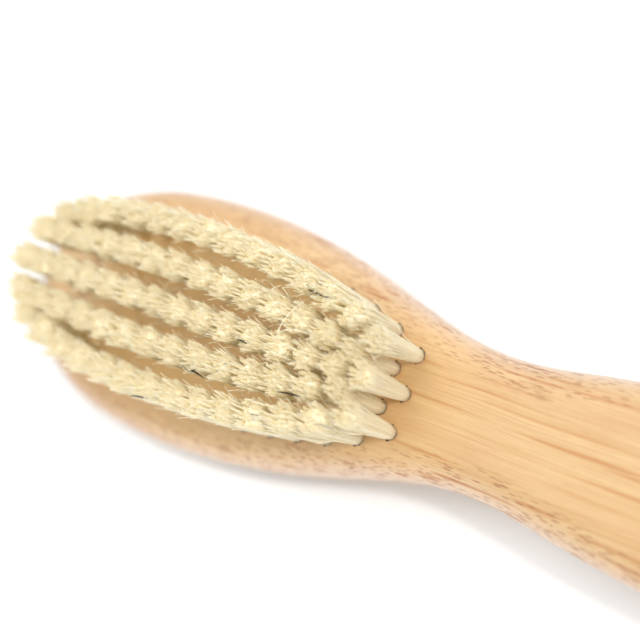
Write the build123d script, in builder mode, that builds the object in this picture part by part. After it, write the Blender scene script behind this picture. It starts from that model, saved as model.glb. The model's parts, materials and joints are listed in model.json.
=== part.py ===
from build123d import *

import os
from math import hypot, sqrt

# Bamboo hand brush with staple-set natural bristle.
#
# Frame: millimetres. The brush lies on its flat back on Z = 0 with the
# bristles up (+Z). +X runs from the head to the handle, +Y across the brush.
# The origin is on the back, half way along the overall length. Rows named
# left are on the +Y side, rows named right on the -Y side.

# Body ----------------------------------------------------------------------
LENGTH = 174.0
THICKNESS = 13.0          # back at Z = 0, bristle face at Z = THICKNESS
TOP_ROUND = 6.0           # rounding between the bristle face and the side
BACK_ROUND = 2.0          # rounding between the side and the back

# Half outline in plan on the +Y side, from the head's tip towards the handle's
# end: tangent arcs as (radius, turn in degrees), a negative turn being to the
# right. One more tangent arc, not listed, closes the handle's end.
OUTLINE = [
    (25.86, -9.512),      # tip of the head
    (16.23, -48.915),     # shoulder of the head
    (39.89, -26.609),
    (102.97, -23.835),    # long side of the head
    (253.15, 2.839),
    (42.26, 26.352),      # neck
    (207.83, -14.448),    # side of the handle
    (46.52, -22.086),
]

# Tuft field ----------------------------------------------------------------
FIRST_X = -9.0            # X of the first hole of the middle and outer rows
PITCH = 4.71              # hole spacing along X in every row
INNER_SHIFT = 2.91        # the inner rows start this much further from the handle
MIDDLE_COUNT = 15
INNER_COUNT = 14
OUTER_COUNT = 14

# The square of the field's half width is a quadratic in the distance from the
# first hole. Towards the head's tip the outer rows also bend inwards.
FIELD_START = 6.0         # half width at the first hole
FIELD_SPREAD = 8.028      # linear term: how fast the field widens
FIELD_CURVE = 0.1075      # quadratic term: how fast it stops widening
BEND_START = 48.0         # distance at which the outer rows start to bend
BEND_RATE = 1.0 / 120.0   # inward bend per square millimetre beyond that

# Tuft holes and their anchors ----------------------------------------------
HOLE_R = 1.12
HOLE_DEPTH = 7.0
ANCHOR_BITE = 0.18        # each end of an anchor reaches this far past the bore
ANCHOR_LENGTH = 2 * (HOLE_R + ANCHOR_BITE)
ANCHOR_THICK = 0.30
ANCHOR_HEIGHT = 1.80
ANCHOR_LIFT = 1.20        # height of the anchor above the floor of the hole
ANCHOR_BEVEL = 0.20       # on the two lower corners
FIT = 0.02                # clearance around the anchor

FLOOR_Z = THICKNESS - HOLE_DEPTH
ANCHOR_Z = FLOOR_Z + ANCHOR_LIFT          # underside of the anchors
SLOT_THICK = ANCHOR_THICK + 2 * FIT       # of the cuts that clear an anchor
SLOT_Z = ANCHOR_Z - FIT                   # underside of those cuts

# Tufts ---------------------------------------------------------------------
TUFT_ROOT_R = 1.04
TUFT_NECK_DEPTH = 2.0     # the bundle starts to spread this far below the face
TUFT_NECK_R = 0.84
TUFT_HEIGHT = 16.5        # above the bristle face
TUFT_TIP_R = 2.30         # where neighbours leave room for it
TUFT_GAP = 0.10           # least gap between two neighbouring tufts at their tips
TUFT_FLOOR_GAP = 0.15     # between the fold and the floor of the hole
LEAN = 0.10               # tips lean towards the centre line by this part of Y


# ---------------------------------------------------------------------------
# Hole layout: each row is a list of (x, y), starting at the handle end
# ---------------------------------------------------------------------------
def field_half_width(distance):
    """Half width of the tuft field before the bend of the outer rows."""
    return sqrt(FIELD_START**2 + FIELD_SPREAD * distance - FIELD_CURVE * distance**2)


def middle_row():
    return [(FIRST_X - PITCH * i, 0.0) for i in range(MIDDLE_COUNT)]


def inner_row(side):
    """Row at half the field's half width, each hole using its unshifted station."""
    first_x = FIRST_X - INNER_SHIFT
    return [(first_x - PITCH * i, side * field_half_width(PITCH * i) / 2)
            for i in range(INNER_COUNT)]


def outer_row(side):
    """Row along the edge of the field, bent inwards near the head's tip."""
    row = []
    for i in range(OUTER_COUNT):
        distance = PITCH * i
        bend = BEND_RATE * max(distance - BEND_START, 0.0) ** 2
        row.append((FIRST_X - distance, side * (field_half_width(distance) - bend)))
    return row


ROWS = {
    "middle": middle_row(),
    "left_inner": inner_row(1),
    "right_inner": inner_row(-1),
    "left_outer": outer_row(1),
    "right_outer": outer_row(-1),
}
HOLES = [hole for row in ROWS.values() for hole in row]
TIPS = [(x, y * (1.0 - LEAN)) for x, y in HOLES]


def tip_radius(tip):
    """Half the distance to the nearest other tip, less half a gap, up to the full flare."""
    nearest = min(hypot(tip[0] - other[0], tip[1] - other[1])
                  for other in TIPS if other != tip)
    return min(TUFT_TIP_R, (nearest - TUFT_GAP) / 2)


# ---------------------------------------------------------------------------
# Pieces
# ---------------------------------------------------------------------------
def build_body():
    """Rounded board with the blind tuft holes and the groove each anchor cuts."""
    with BuildPart() as body:
        with BuildSketch(Plane.XY):
            with BuildLine():
                start, heading = (-LENGTH / 2, 0), (0, 1)
                for radius, turn in OUTLINE:
                    arc = JernArc(start=start, tangent=heading, radius=radius, arc_size=turn)
                    start, heading = arc @ 1, arc % 1
                TangentArc(start, (LENGTH / 2, 0), tangent=heading)
                mirror(about=Plane.XZ)
            make_face()
        extrude(amount=THICKNESS)
        fillet(body.faces().sort_by(Axis.Z)[-1].edges(), radius=TOP_ROUND)
        fillet(body.faces().sort_by(Axis.Z)[0].edges(), radius=BACK_ROUND)
        mouths = [(x, y, THICKNESS) for x, y in HOLES]
        with Locations(*mouths):
            Hole(HOLE_R, depth=HOLE_DEPTH)
        with Locations(*mouths):
            Box(SLOT_THICK, ANCHOR_LENGTH + 2 * FIT, THICKNESS - SLOT_Z,
                align=(Align.CENTER, Align.CENTER, Align.MAX), mode=Mode.SUBTRACT)
    body.part.label = "brush_body"
    return body.part


def build_tufts(row_name, row):
    """One row of tufts: a straight root in each hole, spreading out to a leaning tip."""
    with BuildPart() as tufts:
        for x, y in row:
            with BuildSketch(Plane.XY.offset(FLOOR_Z + TUFT_FLOOR_GAP)):
                with Locations((x, y)):
                    Circle(TUFT_ROOT_R)
            extrude(amount=HOLE_DEPTH - TUFT_FLOOR_GAP)
            lean = Vector(0, -LEAN * y, TUFT_HEIGHT).normalized()
            neck = Vector(x, y, THICKNESS) - lean * TUFT_NECK_DEPTH
            with Locations(Plane(origin=neck, x_dir=(1, 0, 0), z_dir=lean)):
                Cone(TUFT_NECK_R, tip_radius((x, y * (1.0 - LEAN))),
                     TUFT_HEIGHT + TUFT_NECK_DEPTH,
                     align=(Align.CENTER, Align.CENTER, Align.MIN))
        # Slot for the anchor, twice as long as the root is wide so it cuts right through
        with Locations(*[(x, y, SLOT_Z) for x, y in row]):
            Box(SLOT_THICK, 4 * TUFT_ROOT_R, ANCHOR_HEIGHT + 2 * FIT,
                align=(Align.CENTER, Align.CENTER, Align.MIN), mode=Mode.SUBTRACT)
    tufts.part.label = f"tufts_{row_name}_row"
    return tufts.part


def build_anchors(row_name, row):
    """One row of flat wires, each across its hole and bevelled to cut down the bore."""
    with BuildPart() as anchors:
        for x, y in row:
            with BuildSketch(Plane(origin=(x - ANCHOR_THICK / 2, y, ANCHOR_Z),
                                   x_dir=(0, 1, 0), z_dir=(1, 0, 0))) as blank:
                with Locations((0, ANCHOR_HEIGHT / 2)):
                    Rectangle(ANCHOR_LENGTH, ANCHOR_HEIGHT)
                chamfer(blank.vertices().group_by(Axis.Y)[0], length=ANCHOR_BEVEL)
            extrude(amount=ANCHOR_THICK)
    anchors.part.label = f"anchors_{row_name}_row"
    return anchors.part


# One STEP file per piece
pieces = [build_body()]
pieces += [build_tufts(row_name, row) for row_name, row in ROWS.items()]
pieces += [build_anchors(row_name, row) for row_name, row in ROWS.items()]

os.makedirs("parts", exist_ok=True)
for piece in pieces:
    export_step(piece, f"parts/{piece.label}.step")
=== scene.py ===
import json
import math

import bpy
import numpy as np
from mathutils import Matrix, Vector


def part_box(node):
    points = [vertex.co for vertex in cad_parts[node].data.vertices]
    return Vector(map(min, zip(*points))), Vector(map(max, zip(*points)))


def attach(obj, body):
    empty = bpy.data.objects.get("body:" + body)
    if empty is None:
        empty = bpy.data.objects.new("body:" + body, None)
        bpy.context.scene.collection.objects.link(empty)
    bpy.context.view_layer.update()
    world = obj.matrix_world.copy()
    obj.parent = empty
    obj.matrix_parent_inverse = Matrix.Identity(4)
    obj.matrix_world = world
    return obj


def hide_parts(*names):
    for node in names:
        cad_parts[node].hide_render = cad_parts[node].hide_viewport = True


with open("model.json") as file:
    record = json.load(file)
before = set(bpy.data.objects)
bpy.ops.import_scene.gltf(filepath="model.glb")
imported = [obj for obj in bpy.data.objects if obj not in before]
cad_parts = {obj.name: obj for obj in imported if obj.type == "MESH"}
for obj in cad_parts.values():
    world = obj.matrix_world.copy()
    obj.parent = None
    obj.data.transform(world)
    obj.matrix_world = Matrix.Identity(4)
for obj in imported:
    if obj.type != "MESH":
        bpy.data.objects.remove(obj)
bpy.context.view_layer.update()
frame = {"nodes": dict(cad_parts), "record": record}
record = frame["record"]
nodes = frame["nodes"]
scene = bpy.context.scene

MM = 0.001
TUFT_NODES = ["tufts_middle_row", "tufts_left_inner_row", "tufts_right_inner_row",
              "tufts_left_outer_row", "tufts_right_outer_row"]
ANCHOR_NODES = [n.replace("tufts_", "anchors_") for n in TUFT_NODES]

body_low, body_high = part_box("brush_body")
FACE = body_high.z / MM                       # height of the bristle face, mm


# ---------------------------------------------------------------- CAD readings
def mesh_points(node):
    me = nodes[node].data
    co = np.zeros(len(me.vertices) * 3)
    me.vertices.foreach_get("co", co)
    return co.reshape(-1, 3) / MM


def read_tufts(node):
    """Root centre, root radius, tip centre and tip radius of each tuft solid, in mm."""
    p = mesh_points(node)
    low = p[p[:, 2] < p[:, 2].min() + 0.01]
    low = low[np.argsort(low[:, 0])]
    cuts = np.where(np.diff(low[:, 0]) > 1.5)[0] + 1
    roots = np.array([[(g[:, 0].min() + g[:, 0].max()) / 2, (g[:, 1].min() + g[:, 1].max()) / 2]
                      for g in np.split(low, cuts)])
    root_r = np.mean([(g[:, 0].max() - g[:, 0].min()) / 2 for g in np.split(low, cuts)])
    high = p[p[:, 2] > p[:, 2].max() - 1.2]
    nearest = np.argmin(np.abs(high[:, 0][:, None] - roots[None, :, 0]), axis=1)
    out = []
    for i, root in enumerate(roots):
        g = high[nearest == i]
        out.append(dict(root=root, root_r=root_r,
                        tip=np.array([(g[:, 0].min() + g[:, 0].max()) / 2,
                                      (g[:, 1].min() + g[:, 1].max()) / 2]),
                        tip_r=(g[:, 0].max() - g[:, 0].min()) / 2, top=g[:, 2].max()))
    return out[::-1]                          # from the neck outwards


TUFTS = {n: read_tufts(n) for n in TUFT_NODES}
HOLES = np.array([t["root"] for n in TUFT_NODES for t in TUFTS[n]])
TIP_Z = max(t["top"] for n in TUFT_NODES for t in TUFTS[n])
HEIGHT = TIP_Z - FACE


# ---------------------------------------------------------------- node helpers
class Nodes:
    """Small helper that builds a node tree by calls."""

    def __init__(self, name):
        self.mat = bpy.data.materials.new(name)
        self.mat.use_nodes = True
        self.tree = self.mat.node_tree
        self.tree.nodes.clear()
        self.out = self.add("ShaderNodeOutputMaterial")

    def add(self, kind, **props):
        node = self.tree.nodes.new(kind)
        for key, value in props.items():
            setattr(node, key, value)
        return node

    def link(self, source, target):
        self.tree.links.new(source, target)

    def put(self, socket, value):
        if isinstance(value, bpy.types.NodeSocket):
            self.link(value, socket)
        else:
            socket.default_value = value

    def math(self, op, a, b=0.0, c=0.0, clamp=False):
        node = self.add("ShaderNodeMath", operation=op, use_clamp=clamp)
        self.put(node.inputs[0], a)
        self.put(node.inputs[1], b)
        self.put(node.inputs[2], c)
        return node.outputs[0]

    def xyz(self, vector):
        node = self.add("ShaderNodeSeparateXYZ")
        self.link(vector, node.inputs[0])
        return node.outputs

    def vec(self, x, y, z):
        node = self.add("ShaderNodeCombineXYZ")
        for socket, value in zip(node.inputs, (x, y, z)):
            self.put(socket, value)
        return node.outputs[0]

    def noise(self, vector, scale, detail=2.0, rough=0.5, distortion=0.0, dims="3D"):
        node = self.add("ShaderNodeTexNoise", noise_dimensions=dims)
        self.put(node.inputs["Vector"], vector)
        self.put(node.inputs["Scale"], scale)
        self.put(node.inputs["Detail"], detail)
        self.put(node.inputs["Roughness"], rough)
        self.put(node.inputs["Distortion"], distortion)
        return node.outputs[0]

    def voronoi(self, vector, scale, feature="F1", randomness=1.0, out="Distance"):
        node = self.add("ShaderNodeTexVoronoi", feature=feature)
        self.put(node.inputs["Vector"], vector)
        self.put(node.inputs["Scale"], scale)
        self.put(node.inputs["Randomness"], randomness)
        return node.outputs[out]

    def ramp(self, value, stops, interpolation="LINEAR"):
        node = self.add("ShaderNodeValToRGB")
        node.color_ramp.interpolation = interpolation
        while len(node.color_ramp.elements) < len(stops):
            node.color_ramp.elements.new(0.5)
        for element, (at, colour) in zip(node.color_ramp.elements, stops):
            element.position = at
            if isinstance(colour, (int, float)):
                colour = (colour, colour, colour)
            element.color = (*colour[:3], 1.0)
        self.put(node.inputs[0], value)
        return node.outputs[0]

    def step(self, value, low, high, to_low=0.0, to_high=1.0):
        node = self.add("ShaderNodeMapRange", interpolation_type="SMOOTHSTEP")
        self.put(node.inputs["Value"], value)
        self.put(node.inputs["From Min"], low)
        self.put(node.inputs["From Max"], high)
        self.put(node.inputs["To Min"], to_low)
        self.put(node.inputs["To Max"], to_high)
        return node.outputs[0]

    def mix(self, factor, a, b, blend="MIX"):
        node = self.add("ShaderNodeMix", data_type="RGBA", blend_type=blend)
        node.clamp_factor = True
        self.put(node.inputs["Factor"], factor)
        colour_inputs = [s for s in node.inputs if s.type == "RGBA"]
        for socket, value in zip(colour_inputs, (a, b)):
            if isinstance(value, bpy.types.NodeSocket):
                self.link(value, socket)
            else:
                socket.default_value = (*value[:3], 1.0)
        return [s for s in node.outputs if s.type == "RGBA"][0]

    def principled(self, colour, roughness, **extra):
        node = self.add("ShaderNodeBsdfPrincipled")
        self.put(node.inputs["Base Color"], colour if isinstance(colour, bpy.types.NodeSocket) else (*colour, 1.0))
        self.put(node.inputs["Roughness"], roughness)
        for key, value in extra.items():
            self.put(node.inputs[key.replace("_", " ")], value)
        self.link(node.outputs[0], self.out.inputs["Surface"])
        return node

    def bump(self, height, strength, distance):
        node = self.add("ShaderNodeBump")
        self.put(node.inputs["Height"], height)
        self.put(node.inputs["Strength"], strength)
        self.put(node.inputs["Distance"], distance)
        return node.outputs[0]


def srgb(r, g, b):
    """Linear colour from 0-255 display values."""
    return tuple((v / 255 / 12.92) if v / 255 <= 0.04045 else ((v / 255 + 0.055) / 1.055) ** 2.4
                 for v in (r, g, b))


# ---------------------------------------------------------------- bamboo
def bamboo_material():
    m = Nodes("bamboo")
    coord = m.add("ShaderNodeTexCoord").outputs["Object"]
    scaled = m.add("ShaderNodeVectorMath", operation="SCALE")
    m.link(coord, scaled.inputs[0])
    scaled.inputs["Scale"].default_value = 1000.0            # millimetres
    p = scaled.outputs[0]
    x, y, z = m.xyz(p)

    # the fibres wander a little, so that cut bundles begin and end on the faces
    wander = m.vec(m.math("MULTIPLY", x, 0.022), m.math("MULTIPLY", y, 0.05), m.math("MULTIPLY", z, 0.05))
    w1 = m.math("MULTIPLY", m.math("SUBTRACT", m.noise(wander, 1.0, 2.0), 0.5), 2.6)
    w2 = m.math("MULTIPLY", m.math("SUBTRACT", m.noise(m.vec(m.math("ADD", m.math("MULTIPLY", x, 0.022), 37.0),
                                                             m.math("MULTIPLY", y, 0.05),
                                                             m.math("MULTIPLY", z, 0.05)), 1.0, 2.0), 0.5), 2.6)
    yy = m.math("ADD", y, w1)
    zz = m.math("ADD", z, w2)

    # vascular bundles: long thin cells along X, about 0.3 mm across
    bundle = m.voronoi(m.vec(m.math("MULTIPLY", x, 0.020), yy, m.math("MULTIPLY", zz, 0.75)), 1.05)
    bundle_core = m.step(bundle, 0.38, 0.15)
    # they crowd in some layers of the board and thin out in others
    crowd = m.noise(m.vec(m.math("MULTIPLY", x, 0.012), m.math("MULTIPLY", y, 0.18), m.math("MULTIPLY", z, 0.18)), 1.0, 2.0)
    crowd = m.step(crowd, 0.36, 0.62, 0.30, 1.0)
    streak = m.math("MULTIPLY", bundle_core, crowd)
    # where the edge is rounded the cut slants across them, and they show as short dark dashes
    dash = m.voronoi(m.vec(m.math("MULTIPLY", x, 0.45), m.math("MULTIPLY", yy, 2.5), m.math("MULTIPLY", zz, 2.5)), 1.0)
    pick = m.noise(m.vec(m.math("MULTIPLY", x, 0.9), m.math("MULTIPLY", y, 2.0), m.math("MULTIPLY", z, 2.0)), 1.0, 1.0)
    round_edge = m.math("MULTIPLY", m.step(z, FACE - 0.05, FACE - 0.45), m.step(z, FACE - 5.2, FACE - 3.4))
    dash = m.math("MULTIPLY", m.step(dash, 0.44, 0.22), m.step(pick, 0.30, 0.44))
    dash = m.math("MULTIPLY", dash, m.math("ADD", 0.10, m.math("MULTIPLY", round_edge, 0.90)))

    # fine fibres, seen as hair lines on the flat faces
    fine = m.noise(m.vec(m.math("MULTIPLY", x, 0.055), m.math("MULTIPLY", yy, 3.4), m.math("MULTIPLY", zz, 3.4)), 1.0, 4.0, 0.6)
    # broad bands of tone, along the grain
    band = m.noise(m.vec(m.math("MULTIPLY", x, 0.010), m.math("MULTIPLY", yy, 0.42), m.math("MULTIPLY", zz, 0.30)), 1.0, 3.0, 0.55)
    # slow mottling
    cloud = m.noise(m.vec(m.math("MULTIPLY", x, 0.035), m.math("MULTIPLY", y, 0.09), m.math("MULTIPLY", z, 0.09)), 1.0, 3.0, 0.5)

    base = m.ramp(band, [(0.22, srgb(193, 149, 98)), (0.42, srgb(206, 167, 117)),
                         (0.60, srgb(215, 180, 131)), (0.80, srgb(222, 191, 146))])
    tint = m.ramp(cloud, [(0.30, srgb(203, 157, 110)), (0.55, srgb(212, 176, 127)), (0.78, srgb(223, 192, 144))])
    colour = m.mix(0.45, base, tint)
    # painted sheen: a paler, pinker tone down the rounded sides, standing in for the white surroundings caught at a
    # grazing angle
    painted_side_sheen = m.step(z, FACE - 0.4, FACE - 3.6)
    colour = m.mix(m.math("MULTIPLY", painted_side_sheen, 0.70), colour, srgb(236, 203, 176))
    hair = m.step(fine, 0.46, 0.70)
    colour = m.mix(m.math("MULTIPLY", hair, 0.42), colour, srgb(182, 130, 76))
    pale = m.step(fine, 0.45, 0.25)
    colour = m.mix(m.math("MULTIPLY", pale, 0.30), colour, srgb(244, 214, 168))
    colour = m.mix(m.math("MULTIPLY", streak, 0.90), colour, srgb(180, 112, 48))
    colour = m.mix(m.math("MULTIPLY", dash, 0.72), colour, srgb(158, 98, 62))

    # the node of the culm: a faint brown smudge across the neck
    nx = m.math("DIVIDE", m.math("SUBTRACT", x, 8.6), 4.2)
    ny = m.math("DIVIDE", m.math("SUBTRACT", y, 6.4), 1.5)
    spot = m.math("ADD", m.math("MULTIPLY", nx, nx), m.math("MULTIPLY", ny, ny))
    smudge = m.step(spot, 1.0, 0.1)
    blot = m.step(m.noise(m.vec(m.math("MULTIPLY", x, 0.45), m.math("MULTIPLY", y, 1.3), m.math("MULTIPLY", z, 0.6)), 1.0, 3.0), 0.42, 0.66)
    smudge = m.math("MULTIPLY", smudge, blot)
    colour = m.mix(m.math("MULTIPLY", smudge, 0.55), colour, srgb(158, 104, 62))

    # the field between the tufts is made paler than the rest of the wood: the modelled bristles are opaque and let
    # less light down between the rows than the real ones, so this stands in for that light, not for a paler timber
    outer = np.array([t["root"] for t in TUFTS["tufts_left_outer_row"]])
    coeff = np.polyfit(outer[:, 0] / 50.0, np.abs(outer[:, 1]), 6)
    half = float(coeff[0])
    for c in coeff[1:]:
        half = m.math("MULTIPLY_ADD", m.math("DIVIDE", x, 50.0), half, float(c))
    inside = m.step(m.math("SUBTRACT", half, m.math("ABSOLUTE", y)), 0.2, 1.6)
    inside = m.math("MULTIPLY", inside, m.step(x, float(outer[0, 0]) - 1.5, float(outer[0, 0]) - 4.0))
    inside = m.math("MULTIPLY", inside, m.step(x, float(outer[-1, 0]) - 3.0, float(outer[-1, 0]) - 1.0))
    colour = m.mix(m.math("MULTIPLY", inside, 0.90), colour, srgb(255, 222, 164))

    # the face just past the first tufts is a little yellower, for the light that glows through the real bristles
    glow = m.math("MULTIPLY", m.step(x, -24.0, -16.0), m.step(x, 4.0, -8.0))
    glow = m.math("MULTIPLY", glow, m.step(m.math("ABSOLUTE", y), 13.0, 9.0))
    colour = m.mix(m.math("MULTIPLY", glow, 0.20), colour, srgb(255, 210, 140))

    # painted shade round each tuft hole: a dark, broken ring at the rim, where the gap between tuft and hole falls
    # dark, and a faint orange-brown darkening round it
    rim = hole_distance(m, x, y)
    top = m.step(z, FACE - 0.6, FACE - 0.02)
    rim_shade_breakup = m.noise(p, 2.2, 3.0)
    ring = m.math("MULTIPLY", m.step(rim, 1.26, 1.13), top)
    ring = m.math("MULTIPLY", ring, m.step(rim_shade_breakup, 0.36, 0.62))
    # a faint orange-brown painted shade round each tuft root
    halo_shade = m.math("MULTIPLY", m.step(rim, 2.2, 1.1), top)
    colour = m.mix(m.math("MULTIPLY", halo_shade, 0.10), colour, srgb(188, 120, 62))
    colour = m.mix(m.math("MULTIPLY", ring, 0.75), colour, srgb(84, 58, 38))

    rough = m.math("ADD", 0.40, m.math("MULTIPLY", fine, 0.16))
    rough = m.math("ADD", rough, m.math("MULTIPLY", streak, 0.10))
    height = m.math("ADD", m.math("MULTIPLY", fine, 0.5), m.math("MULTIPLY", streak, -0.8))
    bsdf = m.principled(colour, rough, Coat_Weight=0.55, Coat_Roughness=0.30)
    m.link(m.bump(height, 0.35, 0.00008), bsdf.inputs["Normal"])
    return m.mat


def hole_distance(m, x, y):
    """Distance in mm from the nearest tuft hole's axis, worked out from the rows' own spacing."""
    result = None
    for name in ("tufts_middle_row", "tufts_left_inner_row", "tufts_left_outer_row"):
        roots = np.array([t["root"] for t in TUFTS[name]])
        first = roots[0, 0]
        pitch = (roots[0, 0] - roots[-1, 0]) / (len(roots) - 1)
        index = m.math("ROUND", m.math("DIVIDE", m.math("SUBTRACT", first, x), pitch))
        index = m.math("MINIMUM", m.math("MAXIMUM", index, 0.0), float(len(roots) - 1))
        hx = m.math("SUBTRACT", first, m.math("MULTIPLY", index, pitch))
        if name == "tufts_middle_row":
            dy = y
        else:
            # height of the row over the centre line as a polynomial in the hole's number
            k = np.arange(len(roots))
            coeff = np.polyfit(k, np.abs(roots[:, 1]), 6)
            hy = float(coeff[0])
            for c in coeff[1:]:
                hy = m.math("MULTIPLY_ADD", index, hy, float(c))
            dy = m.math("SUBTRACT", m.math("ABSOLUTE", y), hy)
        dx = m.math("SUBTRACT", x, hx)
        d = m.math("SQRT", m.math("ADD", m.math("MULTIPLY", dx, dx), m.math("MULTIPLY", dy, dy)))
        result = d if result is None else m.math("MINIMUM", result, d)
    return result


def bore_material():
    """Drilled wall of a tuft hole: rough bamboo, with painted shade making it dark brown to near black inside the
    hole.
    """
    m = Nodes("bamboo_bore")
    coord = m.add("ShaderNodeTexCoord").outputs["Object"]
    n = m.noise(coord, 2600.0, 3.0)
    colour = m.ramp(n, [(0.30, srgb(34, 24, 17)), (0.60, srgb(74, 50, 32)), (0.85, srgb(112, 78, 48))])
    bsdf = m.principled(colour, 0.85)
    m.link(m.bump(n, 0.5, 0.0001), bsdf.inputs["Normal"])
    return m.mat


def wire_material():
    m = Nodes("anchor_wire")
    coord = m.add("ShaderNodeTexCoord").outputs["Object"]
    x, y, z = m.xyz(coord)
    n = m.noise(m.vec(m.math("MULTIPLY", x, 900.0), m.math("MULTIPLY", y, 220.0), m.math("MULTIPLY", z, 5200.0)), 1.0, 3.0)
    colour = m.ramp(n, [(0.3, srgb(150, 148, 142)), (0.7, srgb(205, 203, 198))])
    bsdf = m.principled(colour, m.math("ADD", 0.28, m.math("MULTIPLY", n, 0.2)), Metallic=1.0)
    m.link(m.bump(n, 0.3, 0.00005), bsdf.inputs["Normal"])
    return m.mat


# ---------------------------------------------------------------- bristle
def bristle_material():
    m = Nodes("bristle")
    attribute = m.add("ShaderNodeAttribute", attribute_name="hair")
    along, shade, kind = m.xyz(attribute.outputs["Vector"])     # 0 root .. 1 tip, shade, dark or not
    coord = m.add("ShaderNodeTexCoord").outputs["Object"]
    x, y, z = m.xyz(coord)
    n = m.noise(m.vec(m.math("MULTIPLY", x, 2500.0), m.math("MULTIPLY", y, 2500.0), m.math("MULTIPLY", z, 260.0)), 1.0, 2.0)
    cream = m.ramp(shade, [(0.0, srgb(254, 240, 204)), (0.35, srgb(255, 244, 214)),
                           (0.75, srgb(255, 247, 220)), (1.0, srgb(255, 250, 230))])
    tip = m.ramp(along, [(0.0, srgb(255, 242, 210)), (0.30, srgb(255, 245, 216)),
                         (0.80, srgb(255, 244, 214)), (1.0, srgb(255, 247, 222))])
    colour = m.mix(0.5, cream, tip)
    colour = m.mix(m.math("MULTIPLY", m.step(n, 0.55, 0.80), 0.15), colour, srgb(226, 200, 140))
    dark = m.ramp(along, [(0.0, srgb(120, 92, 58)), (0.45, srgb(50, 38, 28)), (1.0, srgb(24, 17, 13))])
    colour = m.mix(kind, colour, dark)
    bsdf = m.principled(colour, m.math("MULTIPLY_ADD", kind, 0.35, 0.45), Specular_IOR_Level=0.35)
    m.link(m.bump(n, 0.15, 0.00003), bsdf.inputs["Normal"])
    return m.mat


HOLE_CLEAR = 0.93                             # share of the root's radius the bristles fill
START = 1.2                                   # mm below the face where the modelled bristles begin


def spread(f):
    """How far a bristle has gone from its place in the root to its place in the tip, f of the way up."""
    return 0.86 * f + 0.14 * f * f


def at_height(tuft, u, top, f):
    """Centre of a bristle f of the way up, from its root place u to its tip place top (both in unit discs)."""
    base = tuft["root"] + u * tuft["root_r"] * HOLE_CLEAR
    goal = tuft["tip"] + top * tuft["tip_r"] * np.array([0.96, 0.98])
    s = spread(f)
    return base[:, None] * (1 - s[None, :, None]) + goal[:, None] * s[None, :, None]


def tuft_shape(rng):
    """Locks: bunches the bristles gather into towards their tips, each with its own height."""
    count = 40
    a = np.arange(count) * 2.399963 + rng.uniform(0, 6.28)
    q = np.sqrt((np.arange(count) + 0.5) / count)
    return (np.stack([q * np.cos(a), q * np.sin(a)], 1) + rng.normal(0, 0.05, (count, 2)),
            rng.normal(0, 0.66, count) - 0.4 * q * q)


def bristle_group(rng, tuft, locks, u, low, rings, wide=1.0):
    """Centre lines and radii of bristles at unit-disc places u, drawn from height share low to their tips."""
    n = len(u)
    lock, lock_h = locks
    near = np.argmin(((u[:, None] - lock[None]) ** 2).sum(-1), 1)
    pull = rng.uniform(0.0, 0.12, n)[:, None]
    off = np.linalg.norm(u - lock[near], axis=1)
    top = u * (1 - pull) + lock[near] * pull
    top = top * (1.0 + rng.normal(0, 0.035, (n, 1))) + rng.normal(0, 0.018, (n, 2))
    length = HEIGHT + 0.55 + lock_h[near] - 7.5 * off - 0.9 * rng.random(n) ** 1.4
    short = rng.random(n) < 0.04
    length[short] -= rng.uniform(0.5, 2.0, short.sum())
    length = np.minimum(length, HEIGHT + 0.9)
    depth = START if low == 0 else 0.0
    t = np.linspace(0, 1, rings)
    f = low + (1 - low) * t
    line = at_height(tuft, u, top, f)
    bend = rng.normal(0, 0.045, (n, 2))
    curl = rng.normal(0, 0.06, (n, 2)) + u * rng.uniform(0, 0.28, (n, 1)) * (rng.random((n, 1)) < 0.5)
    line = line + bend[:, None] * (f * (1 - f) * 4)[None, :, None] + curl[:, None] * (f ** 5)[None, :, None]
    # each lock draws together to a point
    point = (lock[near] - u) * tuft["tip_r"] * rng.uniform(0.40, 0.85, (n, 1))
    line = line + point[:, None] * (np.clip((f - 0.82) / 0.18, 0, 1) ** 1.4)[None, :, None]
    z0 = FACE - depth + low * HEIGHT
    z = z0 + t[None] * (FACE + length - z0)[:, None]
    centre = np.concatenate([line, z[..., None]], -1)
    radius = rng.uniform(0.062, 0.086, n) * wide
    taper = 1.0 - 0.05 * f - 0.36 * np.clip((f - 0.84) / 0.16, 0, 1) ** 1.5
    shade = np.clip(rng.normal(0.60, 0.16, n) + lock_h[near] * 0.10, 0, 1)
    return centre, radius[:, None] * taper[None], shade, np.zeros(n), f


def disc(rng, n, low, high):
    """n places spread evenly over the ring between low and high shares of the unit disc's radius."""
    i = (np.arange(n) + 0.5) / n
    q = np.sqrt(low * low + (high * high - low * low) * i)
    a = np.arange(n) * 2.399963 + rng.uniform(0, 6.28)
    return np.stack([q * np.cos(a), q * np.sin(a)], 1) + rng.normal(0, 0.018, (n, 2))


def loose(points, radius, shade, kind, rings=7):
    """One bristle through three points (mm), as a parabola, with fine ends."""
    p = np.array(points, float)
    t = np.linspace(0, 1, rings)[:, None]
    line = p[0] * (1 - t) * (1 - 2 * t) + p[1] * 4 * t * (1 - t) + p[2] * t * (2 * t - 1)
    rad = radius * (1 - 0.55 * np.abs(2 * t[:, 0] - 1) ** 3)
    return line[None], rad[None], np.array([shade]), np.array([kind]), 0.45 + 0.5 * t[:, 0]


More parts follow.
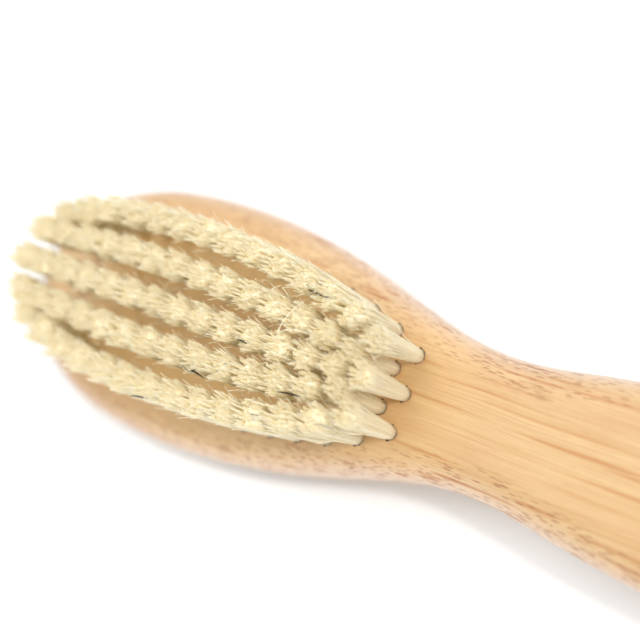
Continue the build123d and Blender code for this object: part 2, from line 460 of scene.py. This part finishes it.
def core(rng, tuft, around=34, levels=9):
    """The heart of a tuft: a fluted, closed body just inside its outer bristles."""
    a = np.arange(around) * 2 * math.pi / around
    flute = 1.0 + rng.normal(0, 0.022, around)
    f = np.concatenate([np.linspace(0, 0.80, levels - 3), [0.865, 0.885, 0.895]])
    cap = np.concatenate([np.ones(levels - 3) * 0.93, [0.85, 0.58, 0.25]])
    s = spread(f)
    centre = tuft["root"][None] * (1 - s[:, None]) + tuft["tip"][None] * s[:, None]
    r = tuft["root_r"] * HOLE_CLEAR * (1 - s) + tuft["tip_r"] * 0.93 * s
    ring = centre[:, None] + (r * cap)[:, None, None] * flute[None, :, None] * np.stack([np.cos(a), np.sin(a)], -1)[None]
    z = FACE - START * (f == 0) + f * HEIGHT
    v = np.concatenate([ring, np.broadcast_to(z[:, None, None], (levels, around, 1))], -1).reshape(-1, 3)
    v[-around * 3:, 2] += rng.normal(0, 0.25, around * 3)
    k = np.arange(around)
    quads = np.concatenate([np.stack([l * around + k, l * around + (k + 1) % around,
                                      (l + 1) * around + (k + 1) % around, (l + 1) * around + k], 1)
                            for l in range(levels - 1)])
    top = len(v)
    v = np.concatenate([v, [[*centre[-1], z[-1]], [*centre[0], z[0]]]])
    tris = np.concatenate([np.stack([(levels - 1) * around + k, (levels - 1) * around + (k + 1) % around,
                                     np.full(around, top)], 1),
                           np.stack([(k + 1) % around, k, np.full(around, top + 1)], 1)])
    shade = np.clip(rng.normal(0.55, 0.25, around), 0, 1)
    hair = np.stack([np.repeat(f, around), np.tile(shade, levels), np.zeros(levels * around)], -1)
    hair = np.concatenate([hair, [[1, 0.5, 0], [0, 0.5, 0]]])
    return v, quads, tris, np.zeros((0, 3), int), hair


def tubes(centre, rad, shade, kind, t, sides=4, phase=0.0):
    """Closed tapered tubes round the centre lines. Returns vertices, quads, end faces, and the hair attribute."""
    n, rings, _ = centre.shape
    tangent = np.gradient(centre, axis=1)
    tangent /= np.linalg.norm(tangent, axis=2, keepdims=True)
    ref = np.zeros_like(tangent)
    ref[..., 0] = 1.0
    e1 = np.cross(tangent, ref)
    e1 /= np.linalg.norm(e1, axis=2, keepdims=True)
    e2 = np.cross(tangent, e1)
    ang = np.arange(sides) * 2 * math.pi / sides + phase
    ring = (centre[:, :, None] + rad[:, :, None, None] * (np.cos(ang)[None, None, :, None] * e1[:, :, None]
                                                         + np.sin(ang)[None, None, :, None] * e2[:, :, None]))
    verts = ring.reshape(n, rings * sides, 3)
    tip = centre[:, -1] + tangent[:, -1] * rad[:, -1][:, None] * 2.2
    verts = np.concatenate([verts, tip[:, None]], 1)            # one point closes the tip
    per = rings * sides + 1
    k = np.arange(sides)
    quads = []
    for r in range(rings - 1):
        quads.append(np.stack([r * sides + k, r * sides + (k + 1) % sides,
                               (r + 1) * sides + (k + 1) % sides, (r + 1) * sides + k], 1))
    quads = np.concatenate(quads)
    tris = np.stack([(rings - 1) * sides + k, (rings - 1) * sides + (k + 1) % sides, np.full(sides, rings * sides)], 1)
    base = np.arange(sides)[::-1]
    offs = (np.arange(n) * per)
    q_all = (quads[None] + offs[:, None, None]).reshape(-1, 4)
    t_all = (tris[None] + offs[:, None, None]).reshape(-1, 3)
    b_all = (base[None] + offs[:, None])
    along = np.concatenate([np.repeat(t, sides), [1.0]])
    hair = np.stack([np.broadcast_to(along[None], (n, per)),
                     np.broadcast_to(shade[:, None], (n, per)),
                     np.broadcast_to(kind[:, None], (n, per))], -1)
    return verts.reshape(-1, 3), q_all, t_all, b_all, hair.reshape(-1, 3)


def build_mesh(name, parts, material):
    verts, faces, hair, offset = [], [], [], 0
    loops, starts, totals = [], [], []
    for v, q, t, b, h in parts:
        for f in (q, t, b):
            loops.append((f + offset).reshape(-1))
            totals.append(np.full(len(f), f.shape[1]))
        verts.append(v)
        hair.append(h)
        offset += len(v)
    verts = np.concatenate(verts) * MM
    loops = np.concatenate(loops)
    totals = np.concatenate(totals)
    starts = np.concatenate([[0], np.cumsum(totals)[:-1]])
    me = bpy.data.meshes.new(name)
    me.vertices.add(len(verts))
    me.vertices.foreach_set("co", verts.astype(np.float32).ravel())
    me.loops.add(len(loops))
    me.loops.foreach_set("vertex_index", loops.astype(np.int32))
    me.polygons.add(len(totals))
    me.polygons.foreach_set("loop_start", starts.astype(np.int32))
    me.polygons.foreach_set("loop_total", totals.astype(np.int32))
    me.polygons.foreach_set("use_smooth", np.ones(len(totals), bool))
    me.update()
    me.validate()
    att = me.attributes.new("hair", "FLOAT_VECTOR", "POINT")
    att.data.foreach_set("vector", np.concatenate(hair).astype(np.float32).ravel())
    ob = bpy.data.objects.new(name, me)
    scene.collection.objects.link(ob)
    me.materials.append(material)
    return ob


BRISTLE = bristle_material()
# single bristles lying on the tufts, dark or pale: row, tuft from the neck, three places from that
# tuft's root in mm (height above the face), radius in mm, shade, darkness
MARKS = [("left_outer", 2, ((-2.09, -1.39, 16.64), (-0.91, -1.48, 16.42), (0.28, -1.63, 16.2)), 0.140, 0.20, 1.00),
         ("right_inner", 1, ((-2.62, -1.7, 17.19), (-1.0, -1.37, 16.75), (0.54, -1.22, 16.35)), 0.140, 0.20, 1.00),
         ("right_inner", 5, ((0.82, -1.2, 16.01), (1.95, -1.24, 15.72), (3.03, -1.6, 15.43)), 0.145, 0.20, 1.00),
         ("middle", 4, ((-0.43, -1.17, 17.28), (0.06, -1.12, 16.7), (0.6, -1.2, 16.09)), 0.120, 0.20, 0.95),
         ("right_outer", 7, ((-0.86, -0.73, 16.43), (0.33, -0.43, 16.1), (1.44, -0.32, 15.81)), 0.145, 0.20, 0.95),
         ("right_outer", 1, ((1.71, 0.46, 17.03), (2.6, 0.55, 16.07), (3.53, 0.52, 15.08)), 0.085, 0.30, 0.70),
         ("left_outer", 3, ((1.4, -1.98, 15.84), (2.03, -2.13, 15.93), (2.61, -2.15, 16.06)), 0.060, 0.30, 0.75),
         ("right_outer", 3, ((1.01, 1.28, 16.79), (2.09, 1.38, 16.65), (3.2, 1.35, 16.48)), 0.085, 0.30, 0.70),
         ("right_inner", 5, ((0.71, -1.44, 15.45), (-0.0, -1.28, 15.87), (-0.76, -0.99, 16.33)), 0.080, 0.30, 0.80),
         ("middle", 2, ((-2.2, 0.63, 17.12), (-1.36, 1.09, 16.87), (-0.37, 1.03, 16.51)), 0.045, 0.30, 0.45),
         ("middle", 2, ((-2.46, -0.61, 16.34), (-1.9, -1.44, 15.51), (-1.26, -2.54, 14.61)), 0.045, 0.30, 0.50),
         ("left_inner", 0, ((-2.07, -0.28, 17.6), (-0.57, -0.16, 17.21), (1.04, 0.01, 16.76)), 0.040, 0.30, 0.30),
         ("left_inner", 2, ((-0.84, -4.07, 17.36), (-0.71, -1.36, 17.27), (0.67, 1.88, 16.51)), 0.075, 0.95, 0.00),
         ("left_outer", 3, ((-3.52, 1.77, 18.46), (-1.85, 1.17, 17.93), (0.4, 0.38, 17.07)), 0.065, 0.90, 0.00),
         ("left_inner", 3, ((0.11, 2.34, 14.76), (0.95, 1.98, 14.72), (1.71, 1.44, 14.71)), 0.050, 0.90, 0.00),
         ("left_inner", 2, ((-0.5, -3.59, 18.28), (1.35, -2.33, 17.77), (4.17, -2.23, 16.64)), 0.050, 0.95, 0.00),
         ("right_outer", 2, ((-4.72, 1.84, 17.26), (-2.58, 1.81, 16.5), (-0.68, 2.11, 15.9)), 0.065, 0.90, 0.00),
         ("middle", 2, ((-3.84, -1.08, 17.97), (-1.94, -1.23, 17.34), (0.03, -1.21, 16.68)), 0.050, 0.85, 0.00),
         ("left_inner", 3, ((-0.55, 1.07, 16.54), (-0.01, 1.89, 16.29), (0.73, 2.5, 15.92)), 0.050, 0.90, 0.00),
         ("left_inner", 4, ((0.66, -1.89, 17.11), (2.12, -0.78, 16.82), (3.27, 0.48, 16.71)), 0.050, 0.90, 0.00),
         ("middle", 4, ((0.21, 2.37, 17.71), (1.63, 1.84, 17.33), (3.0, 0.99, 16.96)), 0.050, 0.90, 0.00)]
ALL_TUFTS = [t for name in TUFT_NODES for t in TUFTS[name]]


def stem(places):
    """Lower part of a single bristle: from inside the nearest tuft up to the nearer end of the part that shows."""
    ends = [np.array(places[0]), np.array(places[-1])]
    _, k, j = min((float(np.hypot(*(e[:2] - t["tip"][:2]))), k, j)
                  for j, t in enumerate(ALL_TUFTS) for k, e in enumerate(ends))
    low = np.append(0.45 * ALL_TUFTS[j]["root"][:2] + 0.55 * ALL_TUFTS[j]["tip"][:2], FACE + 0.55 * HEIGHT)
    return [tuple(low), tuple((low + ends[k]) / 2), tuple(ends[k])]


for row, name in enumerate(TUFT_NODES):
    rng = np.random.default_rng(4100 + row)
    short_name = name.replace("tufts_", "").replace("_row", "")
    parts = []
    for i, tuft in enumerate(TUFTS[name]):
        locks = tuft_shape(rng)
        parts.append(core(rng, tuft))
        parts.append(tubes(*bristle_group(rng, tuft, locks, disc(rng, 140, 0.84, 1.0), 0.0, 6)))
        parts.append(tubes(*bristle_group(rng, tuft, locks, disc(rng, 172, 0.0, 0.90), 0.74, 4, 1.12)))
        # spikes: longer bristles that fan out round the rim of the tip
        count = 22
        u = disc(rng, count, 0.45, 1.0)
        centre, rad, shade, kind, f = bristle_group(rng, tuft, locks, u, 0.60, 5)
        fan = u * rng.uniform(0.10, 1.05, (count, 1)) + np.array([[-0.12, 0.0]])
        centre[..., :2] += fan[:, None] * (np.linspace(0, 1, 5) ** 2.2)[None, :, None]
        centre[..., 2] += rng.uniform(-0.3, 0.9, count)[:, None] * np.linspace(0, 1, 5)[None] ** 2
        parts.append(tubes(centre, rad * 0.85, np.clip(shade + 0.3, 0, 1), kind, f))
        # a few strays lean right out of the tuft
        count = 4
        a = rng.uniform(0, 6.283, count)
        out = np.stack([np.cos(a), np.sin(a)], 1)
        centre, rad, shade, kind, f = bristle_group(rng, tuft, locks, out * 0.97, 0.0, 7)
        lean = out * rng.uniform(0.25, 1.5, (count, 1))
        centre[..., :2] += lean[:, None] * (f ** 3)[None, :, None]
        centre[..., 2] -= (rng.uniform(0.0, 2.6, count)[:, None]) * np.clip(f, 0, 1)[None]
        parts.append(tubes(centre, rad, shade, kind, f))
    for mark_row, i, places, radius, shade, dark in MARKS:
        if mark_row == short_name:
            root = TUFTS[name][i]["root"]
            places = [(root[0] + p[0], root[1] + p[1], FACE + p[2]) for p in places]
            parts.append(tubes(*loose(places, radius, shade, dark)))
            parts.append(tubes(*loose(stem(places), radius * 0.8, shade, dark)))
    ob = build_mesh(name.replace("tufts_", "bristles_"), parts, BRISTLE)
    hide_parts(name)
    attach(ob, "root")


# ---------------------------------------------------------------- CAD nodes kept
BAMBOO, BORE, WIRE = bamboo_material(), bore_material(), wire_material()
body = nodes["brush_body"]
body.data.materials.clear()
body.data.materials.append(BAMBOO)
body.data.materials.append(BORE)
me = body.data
count = len(me.polygons)
centres = np.zeros(count * 3)
me.polygons.foreach_get("center", centres)
centres = centres.reshape(-1, 3) / MM
normals = np.zeros(count * 3)
me.polygons.foreach_get("normal", normals)
upright = np.abs(normals.reshape(-1, 3)[:, 2])
index = np.zeros(count, np.int32)
cand = np.where((centres[:, 2] < FACE - 0.01) & (centres[:, 2] > FACE - 7.3)
                & ((upright < 0.2) | (centres[:, 2] < FACE - 4.5)))[0]
for start in range(0, len(cand), 4000):
    c = cand[start:start + 4000]
    d = np.sqrt(((centres[c][:, None, :2] - HOLES[None]) ** 2).sum(-1)).min(1)
    index[c[d < 1.40]] = 1
me.polygons.foreach_set("material_index", index)
for name in ANCHOR_NODES:
    nodes[name].data.materials.clear()
    nodes[name].data.materials.append(WIRE)


# ---------------------------------------------------------------- stage
def floor_material():
    m = Nodes("white_ground")
    coord = m.add("ShaderNodeTexCoord").outputs["Object"]
    n = m.noise(coord, 9.0, 2.0)
    colour = m.ramp(n, [(0.3, (0.88, 0.91, 0.94)), (0.7, (0.90, 0.93, 0.96))])
    m.principled(colour, 0.8)
    return m.mat


def ground():
    """A wide, slightly uneven sheet of white ground, just under the brush."""
    steps = 40
    xs = np.linspace(-1, 1, steps)
    xs = np.sign(xs) * np.abs(xs) ** 2.2 * 4.0
    gx, gy = np.meshgrid(xs, xs)
    verts = np.stack([gx, gy, 0 * gx], -1).reshape(-1, 3)
    faces = [(j * steps + i, j * steps + i + 1, (j + 1) * steps + i + 1, (j + 1) * steps + i)
             for j in range(steps - 1) for i in range(steps - 1)]
    me = bpy.data.meshes.new("ground")
    me.from_pydata(verts.tolist(), [], faces)
    ob = bpy.data.objects.new("ground", me)
    scene.collection.objects.link(ob)
    me.materials.append(floor_material())
    return ob


floor = ground()


def area(name, at, aim, size, power, colour=(1, 1, 1)):
    light = bpy.data.lights.new(name, "AREA")
    light.shape = "ELLIPSE"
    light.size, light.size_y = size
    light.energy = power
    light.color = colour
    ob = bpy.data.objects.new(name, light)
    scene.collection.objects.link(ob)
    ob.location = at
    ob.rotation_mode = "QUATERNION"
    ob.rotation_quaternion = (Vector(aim) - Vector(at)).to_track_quat("-Z", "Y")
    return ob


key = area("key", (0.257, 0.112, 0.414), (0, 0, 0), (0.055, 0.055), 0.72, (1.0, 0.985, 0.95))
front = area("front", (0.75, 0.20, 0.55), (0, 0, 0), (0.9, 0.9), 1.5, (1.0, 0.985, 0.955))
top = area("top", (-0.12, 0.03, 0.55), (-0.05, 0, 0), (0.30, 0.30), 1.22, (1.0, 0.985, 0.955))
top.visible_glossy = False
far_panel = area("far_panel", (-0.45, 0.30, 0.52), (-0.06, 0, 0), (1.0, 1.0), 1.5, (1.0, 0.985, 0.95))
# a panel that only shows as sheen on the wood and the bristles
side_panel = area("side_panel", (0.10, 0.75, 0.22), (0, 0, 0), (1.3, 0.7), 2.0)
side_panel.visible_diffuse = False

world = bpy.data.worlds.new("studio")
scene.world = world
world.use_nodes = True
bg = world.node_tree.nodes["Background"]
bg.inputs[0].default_value = (0.93, 0.972, 1.0, 1.0)
bg.inputs[1].default_value = 0.66
scene.cycles.diffuse_bounces = 8
scene.cycles.max_bounces = 14

scene.view_settings.view_transform = "Standard"
scene.view_settings.look = "None"
scene.view_settings.exposure = 0.0
scene.view_settings.gamma = 1.0

# ---------------------------------------------------------------- camera
cam_data = bpy.data.cameras.new("camera")
cam = bpy.data.objects.new("camera", cam_data)
scene.collection.objects.link(cam)
scene.camera = cam
CAM_AT = Vector((0.050461, -0.002896, 0.148712))
cam.matrix_world = Matrix((
    (0.8246325, -0.2781893, 0.4925363, CAM_AT.x),
    (0.3504511, 0.9347335, -0.0587987, CAM_AT.y),
    (-0.4440330, 0.2210972, 0.8683034, CAM_AT.z),
    (0, 0, 0, 1)))
cam_data.sensor_width = 36.0
cam_data.lens = 56.6592
cam_data.clip_start, cam_data.clip_end = 0.005, 20.0

# The first tufts are in focus and the far end of the head is soft. Anywhere but at this camera
# place the lens is stopped right down, so that every part of the brush is sharp.
focus = bpy.data.objects.new("focus", None)
scene.collection.objects.link(focus)
focus.location = CAM_AT + cam.matrix_world.to_3x3() @ Vector((0.0, 0.0, -0.1425))
cam_data.dof.use_dof = True
cam_data.dof.focus_object = focus
cam_data.dof.aperture_fstop = 8.5


def here_only(owner, path, here, elsewhere, index=-1):
    """owner's value at path is here while the camera is at its own place, and elsewhere if it is moved."""
    curve = owner.driver_add(path, index) if index >= 0 else owner.driver_add(path)
    var = curve.driver.variables.new()
    var.name = "x"
    var.type = "TRANSFORMS"
    var.targets[0].id = cam
    var.targets[0].transform_type = "LOC_X"
    var.targets[0].transform_space = "WORLD_SPACE"
    curve.driver.type = "SCRIPTED"
    curve.driver.expression = "%.6f if abs(x - %.6f) < 0.0005 else %.6f" % (here, CAM_AT.x, elsewhere)


here_only(cam_data.dof, "aperture_fstop", 8.5, 128.0)

# At the camera's own place the brush is tipped towards one edge of its head, with the neck off the
# ground: the ground is turned to the brush, because the brush itself keeps to its frame.
SLOPE_X, SLOPE_Y, DROP = -0.088, -0.363, -0.0129
normal = Vector((-SLOPE_X, -SLOPE_Y, 1.0)).normalized()
turn = Vector((0, 0, 1)).rotation_difference(normal).to_euler("XYZ")
floor.rotation_mode = "XYZ"
for axis in range(3):
    here_only(floor, "rotation_euler", turn[axis], 0.0, axis)
here_only(floor, "location", DROP, -0.0001, 2)
